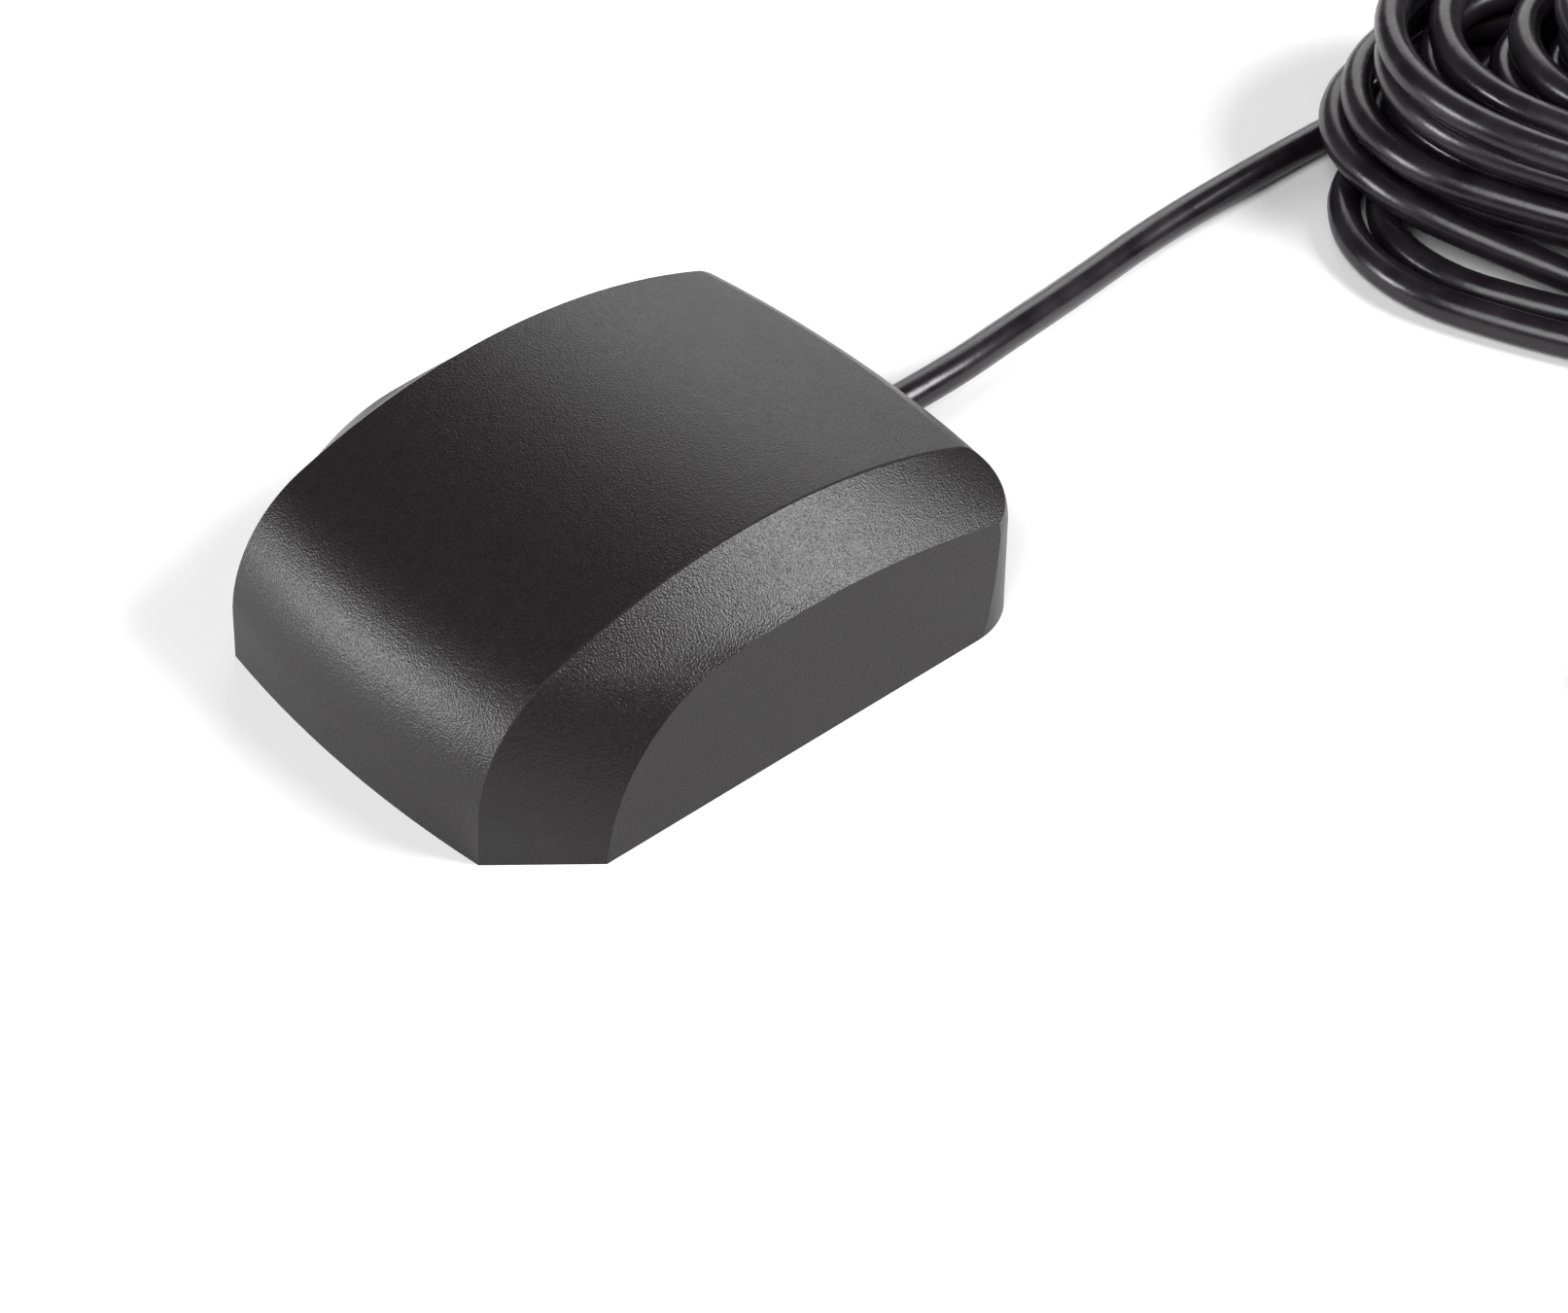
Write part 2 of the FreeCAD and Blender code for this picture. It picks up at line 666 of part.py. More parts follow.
def braid_solder():
    """Two heaps of solder, one on each side of the braid, up to the board."""
    middle_y = (BRAID_END_Y + BOARD_LENGTH / 2) / 2
    heap = box(2 * BRAID_RADIUS + BRAID_SOLDER_WIDTH, BRAID_SOLDER_LENGTH, BRAID_RADIUS, 0, middle_y, LEAD_Z)
    lower = []
    for edge in heap.Edges:
        middle = edge.CenterOfMass
        if middle.z < LEAD_Z + 0.01 and abs(middle.y - middle_y) < 0.01:
            lower.append(edge)
    heap = heap.makeChamfer(BRAID_SOLDER_WIDTH / 3, lower)
    return heap.cut(rod(BRAID_RADIUS, BRAID_END_Y - 1, JACKET_END_Y, 0, LEAD_Z))


def core_solder():
    """Cone of solder from the board's underside down to the bared wire."""
    low = LEAD_Z - CORE_RADIUS / 2
    middle_y = (CORE_END_Y + DIELECTRIC_END_Y) / 2
    foot = Vector(0, middle_y, low)
    heap = Part.makeCone(CORE_SOLDER_RADIUS * 0.7, CORE_SOLDER_RADIUS, BOARD_Z - low, foot)
    return heap.cut(rod(CORE_RADIUS, CORE_END_Y, DIELECTRIC_END_Y, 0, LEAD_Z))


def cable_grommet():
    """Rubber tube in the exit hole with a flange against the wall's inside."""
    wall_inside = EXIT_Y - EXIT_PAD_PROUD - WALL
    tube = rod(GROMMET_RADIUS, wall_inside - GROMMET_FLANGE, EXIT_Y, 0, LEAD_Z)
    flange_end = wall_inside - GROMMET_FLANGE_GAP
    flange = rod(GROMMET_FLANGE_RADIUS, wall_inside - GROMMET_FLANGE, flange_end, 0, LEAD_Z)
    return tube.fuse(flange).cut(rod(LEAD_RADIUS, JACKET_END_Y, EXIT_Y + 1, 0, LEAD_Z)).removeSplitter()


def crimp_ring():
    """Metal ring squeezed on the jacket behind the grommet."""
    end_y = EXIT_Y - EXIT_PAD_PROUD - WALL - GROMMET_FLANGE
    ring = rod(CRIMP_RING_RADIUS, end_y - CRIMP_RING_LENGTH, end_y, 0, LEAD_Z)
    return ring.cut(rod(LEAD_RADIUS, end_y - CRIMP_RING_LENGTH, end_y, 0, LEAD_Z))


# The free lead

def cord_tube(name, points, radius):
    """Round tube along straight runs joined by tangent arcs, as large as their runs allow."""
    corners = [Vector(*point) for point in points]
    edges = []
    radii = []
    start = corners[0]
    for before, corner, after in zip(corners, corners[1:], corners[2:]):
        incoming, outgoing = corner - before, after - corner
        turn = incoming.getAngle(outgoing)
        setback = 0.45 * min(incoming.Length, outgoing.Length)
        radii.append(setback / math.tan(turn / 2))
        first = corner - incoming.normalize() * setback
        last = corner + outgoing.normalize() * setback
        to_middle = ((first + last) * 0.5 - corner).normalize()
        centre_distance = math.hypot(setback, radii[-1])
        middle = corner + to_middle * (centre_distance - radii[-1])
        edges.append(Part.LineSegment(start, first).toShape())
        edges.append(arc_through(first, middle, last))
        start = last
    edges.append(Part.LineSegment(start, corners[-1]).toShape())
    path = Part.Wire(edges)
    direction = (corners[1] - corners[0]).normalize()
    section = Part.Wire([Part.Circle(corners[0], direction, radius).toShape()])
    tube = path.makePipeShell([section], True, False)
    filled = tube.Volume / (math.pi * radius ** 2 * path.Length)
    print(name, "radii", [round(value, 1) for value in radii], "length", round(path.Length, 1))
    print(name, "volume over section times length", round(filled, 4), "valid", tube.isValid())
    return tube


def lead_coil():
    """One closed oval ring of the outer shape of all the loose turns.

    The oval is four tangent arcs, two round ends and two slightly bowed sides, and each is its own
    turn of the ring's section about an upright axis.
    """
    end_x = COIL_HALF_LENGTH - COIL_END_RADIUS
    side_y = math.sqrt((COIL_SIDE_RADIUS - COIL_END_RADIUS) ** 2 - end_x ** 2)
    bow_deg = math.degrees(math.atan2(end_x, side_y))
    turns = [
        (0, -side_y, COIL_SIDE_RADIUS, 90 - bow_deg, 2 * bow_deg),
        (-end_x, 0, COIL_END_RADIUS, 90 + bow_deg, 180 - 2 * bow_deg),
        (0, side_y, COIL_SIDE_RADIUS, 270 - bow_deg, 2 * bow_deg),
        (end_x, 0, COIL_END_RADIUS, 270 + bow_deg, 180 - 2 * bow_deg),
    ]
    pieces = []
    for x, y, radius, start_deg, sweep_deg in turns:
        oval = Part.Ellipse(Vector(0, 0, 0), COIL_HALF_HEIGHT, COIL_HALF_WIDTH).toShape()
        oval.rotate(Vector(0, 0, 0), Vector(0, 0, 1), 90)
        oval.rotate(Vector(0, 0, 0), Vector(1, 0, 0), 90)
        oval.translate(Vector(radius, 0, COIL_HALF_HEIGHT))
        piece = Part.Face(Part.Wire([oval])).revolve(Vector(0, 0, 0), Vector(0, 0, 1), sweep_deg)
        piece.rotate(Vector(0, 0, 0), Vector(0, 0, 1), start_deg)
        piece.translate(Vector(x, y, 0))
        pieces.append(piece)
    ring = pieces[0].fuse(pieces[1:])
    ring.rotate(Vector(0, 0, 0), Vector(0, 0, 1), COIL_TURN_DEG)
    ring.translate(Vector(COIL_X, COIL_Y, 0))
    return ring


# The plug, turned about an axis along Y

def turned(points):
    """Solid turned about the plug's axis from (radius, distance behind the mouth) points."""
    ring = [Vector(PLUG_X + radius, MOUTH_Y + along, PLUG_Z) for radius, along in points]
    face = Part.Face(Part.makePolygon(ring + [ring[0]]))
    return face.revolve(Vector(PLUG_X, MOUTH_Y, PLUG_Z), Vector(0, 1, 0), 360)


NUT_FLANGE_START = THREAD_DEPTH + NUT_GROOVE_LENGTH
COLLAR_START = NUT_LENGTH + COLLAR_GAP
COLLAR_END = COLLAR_START + COLLAR_LENGTH
SHANK_END = COLLAR_END + SHANK_LENGTH
RING_START = THREAD_DEPTH + NUT_GROOVE_LENGTH / 2 - SNAP_RING_WIDTH / 2
SLEEVE_START = COLLAR_END + FERRULE_LENGTH - SLEEVE_OVERLAP
SLEEVE_END = SLEEVE_START + SLEEVE_LENGTH
FERRULE_BORE = SHANK_RADIUS + PLUG_BRAID_WALL
FERRULE_RADIUS = FERRULE_BORE + FERRULE_WALL
FERRULE_END = COLLAR_END + FERRULE_LENGTH
JACKET_START = FERRULE_END + SLEEVE_NECK / 2
PIN_END = COLLAR_START + PIN_SOLDER_CUP


def coupling_nut():
    """Six-sided nut with the thread's bore, a ring groove and an inner flange round the body's neck."""
    prism = Part.Face(Part.makePolygon([
        Vector(PLUG_X + NUT_CORNER_RADIUS * math.cos(math.radians(60 * i)), MOUTH_Y,
               PLUG_Z + NUT_CORNER_RADIUS * math.sin(math.radians(60 * i))) for i in range(7)
    ])).extrude(Vector(0, NUT_LENGTH, 0))
    half = NUT_FLATS / 2
    blank = turned([(0, 0), (half, 0), (NUT_CORNER_RADIUS, NUT_CHAMFER),
                    (NUT_CORNER_RADIUS, NUT_LENGTH - NUT_CHAMFER), (half, NUT_LENGTH), (0, NUT_LENGTH)])
    bore = turned([(0, -1), (THREAD_RADIUS + 0.4, -1), (THREAD_RADIUS + 0.4, 0), (THREAD_RADIUS, 0.4),
                   (THREAD_RADIUS, THREAD_DEPTH), (NUT_GROOVE_RADIUS, THREAD_DEPTH),
                   (NUT_GROOVE_RADIUS, NUT_FLANGE_START), (NECK_RADIUS + NUT_FIT, NUT_FLANGE_START),
                   (NECK_RADIUS + NUT_FIT, NUT_LENGTH + 1), (0, NUT_LENGTH + 1)])
    return prism.common(blank).cut(bore)


def plug_body():
    """Turned body: front tube, shoulder, neck with the ring's groove, collar and crimp shank."""
    ring_low = RING_START - SNAP_RING_PLAY
    ring_high = RING_START + SNAP_RING_WIDTH
    return turned([
        (DIELECTRIC_BORE_RADIUS, TUBE_RECESS), (TUBE_RADIUS, TUBE_RECESS), (TUBE_RADIUS, THREAD_DEPTH),
        (NECK_RADIUS, THREAD_DEPTH), (NECK_RADIUS, ring_low), (NECK_RADIUS - SNAP_RING_DEPTH, ring_low),
        (NECK_RADIUS - SNAP_RING_DEPTH, ring_high), (NECK_RADIUS, ring_high), (NECK_RADIUS, COLLAR_START),
        (COLLAR_RADIUS, COLLAR_START), (COLLAR_RADIUS, COLLAR_END - 0.4), (COLLAR_RADIUS - 0.4, COLLAR_END),
        (SHANK_RADIUS, COLLAR_END), (SHANK_RADIUS, SHANK_END), (SHANK_BORE_RADIUS, SHANK_END),
        (SHANK_BORE_RADIUS, COLLAR_START), (DIELECTRIC_BORE_RADIUS, COLLAR_START),
    ])


def snap_ring():
    """Split spring ring in the neck's groove, wide enough to hold the nut's flange."""
    inner = NECK_RADIUS - SNAP_RING_DEPTH
    outer = NUT_GROOVE_RADIUS - SNAP_RING_CLEARANCE
    ring = turned([(inner, RING_START), (outer, RING_START), (outer, RING_START + SNAP_RING_WIDTH),
                   (inner, RING_START + SNAP_RING_WIDTH)])
    gap = Part.makeBox(SNAP_RING_OPENING, SNAP_RING_WIDTH + 1, outer + 1,
                       Vector(PLUG_X - SNAP_RING_OPENING / 2, MOUTH_Y + RING_START - 0.5, PLUG_Z))
    return ring.cut(gap)


def mating_gasket():
    """Rubber ring on the front tube, against the shoulder."""
    low = THREAD_DEPTH - MATING_GASKET_LENGTH
    return turned([(TUBE_RADIUS, low), (MATING_GASKET_RADIUS, low), (MATING_GASKET_RADIUS, THREAD_DEPTH),
                   (TUBE_RADIUS, THREAD_DEPTH)])


def plug_insulator():
    low = TUBE_RECESS + PIN_RECESS
    return turned([(PIN_RADIUS, low), (DIELECTRIC_BORE_RADIUS, low), (DIELECTRIC_BORE_RADIUS, COLLAR_START),
                   (PIN_RADIUS, COLLAR_START)])


def plug_centre_pin():
    """Pin with a slimmer pointed tip, soldered to the lead's core behind the insulator."""
    tip = TUBE_RECESS + PIN_RECESS - PIN_PROUD
    cup = PIN_END - PIN_SOLDER_CUP
    return turned([(0, tip), (PIN_TIP_RADIUS / 2, tip), (PIN_TIP_RADIUS, tip + PIN_TIP_RADIUS),
                   (PIN_TIP_RADIUS, tip + PIN_TIP_LENGTH), (PIN_RADIUS, tip + PIN_TIP_LENGTH),
                   (PIN_RADIUS, PIN_END), (CORE_RADIUS, PIN_END), (CORE_RADIUS, cup), (0, cup)])


def plug_core_end():
    """The lead's centre wire, soldered into the pin's cup."""
    cup = PIN_END - PIN_SOLDER_CUP
    return turned([(0, cup), (CORE_RADIUS, cup), (CORE_RADIUS, PIN_END), (0, PIN_END)])


def plug_dielectric_end():
    """The lead's core insulation inside the shank, up to the jacket's end."""
    return turned([(0, PIN_END), (DIELECTRIC_RADIUS, PIN_END), (DIELECTRIC_RADIUS, JACKET_START),
                   (0, JACKET_START)])


def plug_braid_end():
    """The lead's braid, spread over the shank and trapped by the ferrule."""
    outer = FERRULE_BORE
    return turned([(SHANK_RADIUS, COLLAR_END), (outer, COLLAR_END), (outer, FERRULE_END),
                   (BRAID_RADIUS, JACKET_START), (DIELECTRIC_RADIUS, JACKET_START),
                   (DIELECTRIC_RADIUS, SHANK_END), (SHANK_RADIUS, SHANK_END)])


def crimp_ferrule():
    """Soft tube crimped over the braid, on the shank."""
    return turned([(FERRULE_BORE, COLLAR_END), (FERRULE_RADIUS, COLLAR_END), (FERRULE_RADIUS, FERRULE_END),
                   (FERRULE_BORE, FERRULE_END)])


def heat_shrink_sleeve():
    """Shrunk sleeve over the ferrule's rear and the lead's jacket, necked down between them."""
    wall = SLEEVE_WALL
    return turned([
        (FERRULE_RADIUS, SLEEVE_START), (FERRULE_RADIUS + wall, SLEEVE_START),
        (FERRULE_RADIUS + wall, FERRULE_END), (LEAD_RADIUS + wall, FERRULE_END + SLEEVE_NECK),
        (LEAD_RADIUS + wall, SLEEVE_END), (LEAD_RADIUS, SLEEVE_END), (LEAD_RADIUS, JACKET_START),
        (FERRULE_RADIUS, FERRULE_END),
    ])


def tail_route():
    """From the coil to the plug, the last run along the plug's axis."""
    bend = (PLUG_X, MOUTH_Y + SLEEVE_END + TAIL_STRAIGHT, PLUG_Z)
    return [TAIL_START] + TAIL_MIDDLE + [bend, (PLUG_X, MOUTH_Y + JACKET_START, PLUG_Z)]


PIECES = [
    top_cover, base_plate, base_label, sealing_gasket, case_screws, magnet, circuit_board, patch_adhesive,
    ground_electrode, patch_ceramic, patch_electrode, feed_pin, feed_solder, shield_can, saw_filter,
    amplifier_transistors, board_capacitors, board_resistors, board_inductor, lead_jacket_end, lead_braid_end,
    lead_dielectric_end, lead_core_end, braid_solder, core_solder, cable_grommet, crimp_ring, lead_coil,
    coupling_nut, plug_body, snap_ring, mating_gasket, plug_insulator, plug_centre_pin, plug_core_end,
    plug_dielectric_end, plug_braid_end, crimp_ferrule, heat_shrink_sleeve,
]

os.makedirs("parts", exist_ok=True)
for piece in PIECES:
    nodes_out(piece.__name__, piece())
nodes_out("antenna_lead", cord_tube("antenna_lead", LEAD_ROUTE, LEAD_RADIUS))
nodes_out("lead_tail", cord_tube("lead_tail", tail_route(), LEAD_RADIUS))
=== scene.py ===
import math
import bpy
import numpy as np
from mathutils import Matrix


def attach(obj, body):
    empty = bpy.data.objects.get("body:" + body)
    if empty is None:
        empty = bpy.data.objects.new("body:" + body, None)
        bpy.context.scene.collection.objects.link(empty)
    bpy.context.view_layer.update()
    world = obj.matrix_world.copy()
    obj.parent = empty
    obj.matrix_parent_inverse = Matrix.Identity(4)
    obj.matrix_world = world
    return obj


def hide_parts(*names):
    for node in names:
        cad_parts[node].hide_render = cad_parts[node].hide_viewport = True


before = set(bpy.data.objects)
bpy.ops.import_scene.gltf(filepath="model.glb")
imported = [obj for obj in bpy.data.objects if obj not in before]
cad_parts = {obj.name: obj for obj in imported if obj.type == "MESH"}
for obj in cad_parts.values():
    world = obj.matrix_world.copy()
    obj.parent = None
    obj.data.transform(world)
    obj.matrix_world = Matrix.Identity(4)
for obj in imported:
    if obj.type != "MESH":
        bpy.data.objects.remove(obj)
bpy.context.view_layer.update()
scene = bpy.context.scene

# Bottom plate, its gasket and the pale film under it. The plate is moulded black plastic with the
# fine grain of its mould, and the gasket is rubber. The film is satin and glued over the screws.


class Field:
    """A value that varies over a surface: one output socket of a material, with arithmetic."""

    def __init__(self, tree, socket):
        self.tree = tree
        self.socket = socket

    def node(self, kind, output=0, settings=None, **inputs):
        """Add a node; keyword inputs are sockets by name, with _ for a space, or by number as i0, i1."""
        made = self.tree.nodes.new(kind)
        for key, value in (settings or {}).items():
            setattr(made, key, value)
        for key, value in inputs.items():
            numbered = key[0] == "i" and key[1:].isdigit()
            target = made.inputs[int(key[1:])] if numbered else made.inputs[key.replace("_", " ")]
            if isinstance(value, Field):
                self.tree.links.new(value.socket, target)
            else:
                target.default_value = value
        return Field(self.tree, made.outputs[output])

    def math(self, operation, other):
        return self.node("ShaderNodeMath", settings={"operation": operation}, i0=self, i1=other)

    def __add__(self, other):
        return self.math("ADD", other)

    def __mul__(self, other):
        return self.math("MULTIPLY", other)

    __radd__ = __add__
    __rmul__ = __mul__

    def ramp(self, low, high, out_low=0.0, out_high=1.0):
        """Straight remap of low..high to out_low..out_high, held at both ends."""
        return self.node("ShaderNodeMapRange", Value=self, From_Min=low, From_Max=high,
                         To_Min=out_low, To_Max=out_high)

    def blend(self, first, second):
        """Colour between two colours, by this value."""
        return self.node("ShaderNodeMix", output=2, settings={"data_type": "RGBA"}, i0=self,
                         i6=(*first, 1.0) if isinstance(first, tuple) else first,
                         i7=(*second, 1.0) if isinstance(second, tuple) else second)

    def noise(self, scale, detail=3.0, stretch=(1.0, 1.0, 1.0)):
        """Cloudy noise over this position field, scale in features per metre."""
        place = self.node("ShaderNodeMapping", Vector=self, Scale=stretch)
        return place.node("ShaderNodeTexNoise", Vector=place, Scale=scale, Detail=detail)


def surface(name, base, roughness, metallic=0.0, specular=0.5):
    """New material: its field of positions on the object, and a function that links what varies."""
    material = bpy.data.materials.new(name)
    material.use_nodes = True
    tree = material.node_tree
    shader = tree.nodes["Principled BSDF"]
    shader.inputs["Base Color"].default_value = (*base, 1.0)
    shader.inputs["Roughness"].default_value = roughness
    shader.inputs["Metallic"].default_value = metallic
    shader.inputs["Specular IOR Level"].default_value = specular
    place = Field(tree, tree.nodes.new("ShaderNodeTexCoord").outputs["Object"])

    def finish(color=None, rough=None, height=None, depth=0.0):
        if color is not None:
            tree.links.new(color.socket, shader.inputs["Base Color"])
        if rough is not None:
            tree.links.new(rough.socket, shader.inputs["Roughness"])
        if height is not None:
            bump = place.node("ShaderNodeBump", Height=height, Distance=depth, Strength=1.0)
            tree.links.new(bump.socket, shader.inputs["Normal"])
        return material

    return place, finish


def dress(material, *nodes):
    """Give the named CAD nodes this material."""
    for name in nodes:
        mesh_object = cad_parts[name]
        for index in range(len(mesh_object.material_slots)):
            mesh_object.material_slots[index].material = material


place, finish = surface("plate_plastic", (0.02, 0.02, 0.021), 0.5)
grain = place.noise(2500.0)
dress(finish(rough=grain.ramp(0.3, 0.7, 0.42, 0.6), height=grain, depth=0.00002), "base_plate")
place, finish = surface("gasket_rubber", (0.018, 0.018, 0.019), 0.6)
grain = place.noise(4000.0)
dress(finish(rough=grain.ramp(0.3, 0.7, 0.5, 0.7), height=grain, depth=0.00001),
      "sealing_gasket", "cable_grommet")

place, finish = surface("label_film", (0.7, 0.66, 0.63), 0.4)
fibre = place.noise(5000.0, 4.0)
cloud = place.noise(60.0, 2.0)
tone = (cloud * 0.7 + fibre * 0.3).ramp(0.35, 0.65).blend((0.66, 0.62, 0.585), (0.73, 0.70, 0.665))
sink = cloud * 0.4 + fibre * 0.1
dress(finish(tone, fibre.ramp(0.3, 0.7, 0.34, 0.46), sink, 0.00004), "base_label")

# Fasteners and magnet: zinc-plated screws and a nickel-plated disc.
place, finish = surface("screw_steel", (0.62, 0.63, 0.64), 0.3, 1.0)
grain = place.noise(3000.0)
tone = grain.ramp(0.35, 0.7).blend((0.62, 0.63, 0.64), (0.5, 0.5, 0.5))
dress(finish(tone, grain.ramp(0.3, 0.7, 0.25, 0.42)), "case_screws")
place, finish = surface("magnet_nickel", (0.70, 0.69, 0.66), 0.22, 1.0)
grain = place.noise(900.0)
dress(finish(rough=grain.ramp(0.3, 0.7, 0.16, 0.3), height=grain, depth=0.00001), "magnet")

# Board: green solder mask over copper tracks, with tin on the soldered places.
place, finish = surface("board_laminate", (0.02, 0.16, 0.06), 0.35)
track = place.node("ShaderNodeTexBrick", Vector=place, Scale=260.0, Mortar_Size=0.03)
tone = track.ramp(0.0, 1.0).blend((0.012, 0.10, 0.04), (0.03, 0.20, 0.08))
dress(finish(tone, height=track, depth=0.00002), "circuit_board")

# Patch: a fired ceramic block with silver paste fired on both faces, on double-sided foam.
place, finish = surface("patch_stoneware", (0.62, 0.50, 0.36), 0.6)
speckle = place.noise(3500.0, 5.0)
tone = speckle.ramp(0.35, 0.7).blend((0.66, 0.55, 0.41), (0.52, 0.41, 0.28))
dress(finish(tone, height=speckle, depth=0.00002), "patch_ceramic")
place, finish = surface("silver_film", (0.83, 0.82, 0.79), 0.3, 1.0)
brushed = place.noise(900.0, 3.0, (1.0, 14.0, 1.0))
dress(finish(rough=brushed.ramp(0.3, 0.7, 0.25, 0.45)), "patch_electrode", "ground_electrode")
place, finish = surface("foam_adhesive", (0.80, 0.79, 0.74), 0.9)
cells = place.noise(6000.0)
dress(finish(height=cells, depth=0.00004), "patch_adhesive")

# Amplifier: tinned can soldered round black and tan chips.
place, finish = surface("can_steel", (0.68, 0.68, 0.67), 0.3, 1.0)
streak = place.noise(700.0, 3.0, (9.0, 1.0, 1.0))
dress(finish(rough=streak.ramp(0.3, 0.7, 0.22, 0.42)), "shield_can")
place, finish = surface("chip_resin", (0.03, 0.03, 0.033), 0.55)
grain = place.noise(9000.0)
dress(finish(height=grain, depth=0.00001), "amplifier_transistors", "board_resistors", "board_inductor")
place, finish = surface("chip_ceramic", (0.50, 0.38, 0.24), 0.4)
grain = place.noise(6000.0)
tone = grain.ramp(0.35, 0.7).blend((0.52, 0.40, 0.26), (0.42, 0.31, 0.2))
dress(finish(tone), "saw_filter", "board_capacitors")

# Feed pin, solder and the stripped end of the lead, held by an aluminium crimp ring.
place, finish = surface("contact_gold", (0.83, 0.62, 0.28), 0.22, 1.0)
grain = place.noise(2500.0)
dress(finish(rough=grain.ramp(0.3, 0.7, 0.16, 0.3)), "feed_pin", "plug_centre_pin")
place, finish = surface("solder_tin", (0.66, 0.66, 0.67), 0.25, 1.0)
grain = place.noise(1800.0)
dress(finish(height=grain, depth=0.00003), "feed_solder", "braid_solder", "core_solder")
place, finish = surface("braid_copper", (0.70, 0.67, 0.62), 0.35, 1.0)
weave = place.node("ShaderNodeTexChecker", output=1, Vector=place, Scale=4200.0)
dress(finish(height=weave, depth=0.00006), "lead_braid_end", "plug_braid_end")
place, finish = surface("core_insulation", (0.84, 0.84, 0.82), 0.4)
grain = place.noise(1500.0)
dress(finish(rough=grain.ramp(0.3, 0.7, 0.35, 0.5)),
      "lead_dielectric_end", "plug_dielectric_end", "plug_insulator")
place, finish = surface("core_copper", (0.80, 0.42, 0.25), 0.3, 1.0)
grain = place.noise(2500.0)
dress(finish(rough=grain.ramp(0.3, 0.7, 0.22, 0.4)), "lead_core_end", "plug_core_end")
place, finish = surface("crimp_metal", (0.72, 0.72, 0.73), 0.35, 1.0)
grain = place.noise(1200.0, 3.0, (1.0, 8.0, 1.0))
dress(finish(rough=grain.ramp(0.3, 0.7, 0.28, 0.48)), "crimp_ring")

# Cover: injection-moulded black plastic. Its mould was spark-eroded, which leaves a sandy grain with a
# faint leathery unevenness. Its colour is painted lighter where the grain stands high and darker in the
# low spots: a painted sheen on the high spots and painted shade in the low ones.
place, finish = surface("cover_plastic", (0.03, 0.029, 0.03), 0.5, specular=0.34)
sand = place.noise(7800.0, 1.0)
pits = place.node("ShaderNodeTexVoronoi", Vector=place, Scale=5400.0)
leather = place.noise(1100.0, 3.0)
relief = sand * 0.7 + pits * 0.35 + leather * 0.06
# painted sheen and shade: the colour is lighter where the grain's relief is high and darker where it is low
tone = relief.ramp(0.35, 0.75).blend((0.0045, 0.0034, 0.0038), (0.0108, 0.0088, 0.0095))
rough = (leather * 0.4 + sand * 0.6).ramp(0.3, 0.7, 0.31, 0.40)
dress(finish(tone, rough, relief, 0.000045), "top_cover")

# Lead: 3 m of 2.8 mm coaxial cable with a black vinyl jacket, semi-gloss, slightly uneven from
# extrusion. It leaves the grommet, drops to the surface and is wound into a loose oval coil whose
# turns fan out at the end nearest the housing, then runs out to its plug.
route = [(0.0, 25.0, 4.9), (0.0, 32.5, 4.9), (-1.5, 41.0, 4.2), (-3.9, 51.2, 2.5), (-6.1, 62.2, 1.5),
         (-6.7, 74.3, 1.4)]
tail = [(61.0, 108.0, 1.4), (60.6, 99.5, 1.4), (59.2, 91.5, 2.0), (58.5, 83.9, 4.0), (58.5, 70.1, 4.0)]


def oval_points(half_length, end_radius, side_radius, part):
    """Points of ovals made of four tangent arcs, each at a share of the way round from its left tip.

    The way is measured from the nearer tip: first along the end's arc, then along the side's.
    """
    reach = half_length - end_radius
    drop = np.sqrt((side_radius - end_radius) ** 2 - reach ** 2)
    joint = np.arctan2(reach, drop)
    end_way = end_radius * (np.pi / 2 - joint)
    way = (1 - np.abs(1 - 2 * (2 * part % 1))) * (end_way + side_radius * joint)
    on_end = way < end_way
    lean = np.where(on_end, np.pi / 2 - way / end_radius, joint - (way - end_way) / side_radius)
    x = np.where(on_end, reach + end_radius * np.sin(lean), side_radius * np.sin(lean))
    y = np.where(on_end, end_radius * np.cos(lean), side_radius * np.cos(lean) - drop)
    return np.where((part > 0.25) & (part < 0.75), x, -x), np.where(part < 0.5, y, -y)


def wound(turns, last, per_turn, half_length, side_radius, tip, tilt):
    """Centre points of loose turns wound clockwise from above.

    Every turn is an oval with its own shift to the right and away, inset, end radius, heading and
    height. It eases into the next one's between the two turn counts that close its row. Right and
    away are turned by the tilt, and the tip is the left end of a turn that isn't shifted.
    """
    way = np.arange(1, int(last * per_turn)) / per_turn
    starts, stops = turns[:-1, 6], turns[:-1, 7]
    ease = np.clip((way[:, None] - starts) / (stops - starts), 0.0, 1.0)
    values = turns[0, :6] + (ease * ease * (3 - 2 * ease)) @ np.diff(turns[:, :6], axis=0)
    right, away, inset, end, heading, height = values.T
    x, y = oval_points(half_length - inset, end - inset, side_radius - inset, way % 1)
    turned = np.radians(heading)
    cx = tip[0] + half_length * np.cos(turned) + right * np.cos(tilt) - away * np.sin(tilt)
    cy = tip[1] + half_length * np.sin(turned) + right * np.sin(tilt) + away * np.cos(tilt)
    return np.stack([cx + x * np.cos(turned) - y * np.sin(turned),
                     cy + x * np.sin(turned) + y * np.cos(turned), height], axis=1)


